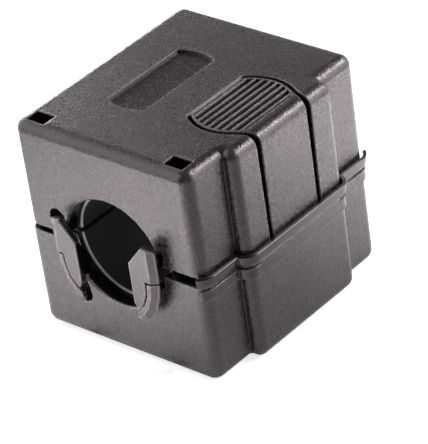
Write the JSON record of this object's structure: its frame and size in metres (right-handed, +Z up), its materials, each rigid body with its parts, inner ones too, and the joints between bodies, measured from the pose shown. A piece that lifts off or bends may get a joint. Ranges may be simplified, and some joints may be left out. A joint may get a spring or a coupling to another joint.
{
  "type": "clip-on ferrite bead",
  "caption": "Square plastic case, hinged on one side with a spring latch on the other, that clips a split ferrite core around a cable.",
  "frame": {"origin": "on the cable's axis, halfway along the core, in the joint plane between the halves", "axes": "+Y along the cable, +X towards the latch, +Z up through the half that opens"},
  "size_m": [0.0368, 0.0428, 0.0347],
  "materials": {
    "case_plastic": "black nylon with a fine spark-eroded grain",
    "ferrite": "ground sintered ferrite, dark grey"
  },
  "bodies": {
    "base": {"lower_case": "case_plastic", "lower_core": "ferrite", "film_hinge": "case_plastic"},
    "lid": {"upper_case": "case_plastic", "upper_core": "ferrite"},
    "latch": {"latch": "case_plastic"}
  },
  "joints": [
    {"name": "lid_hinge", "type": "hinge", "parent": "base", "child": "lid", "pos_m": [-0.0174, 0, 0], "axis": [0, -1, 0], "range_deg": [0, 175], "deforming": ["film_hinge"]},
    {"name": "latch_flex", "type": "hinge", "parent": "lid", "child": "latch", "pos_m": [0.0059, 0, 0.0169], "axis": [0, 1, 0], "range_deg": [0, 5], "stiffness_Nm_per_rad": 1}
  ]
}
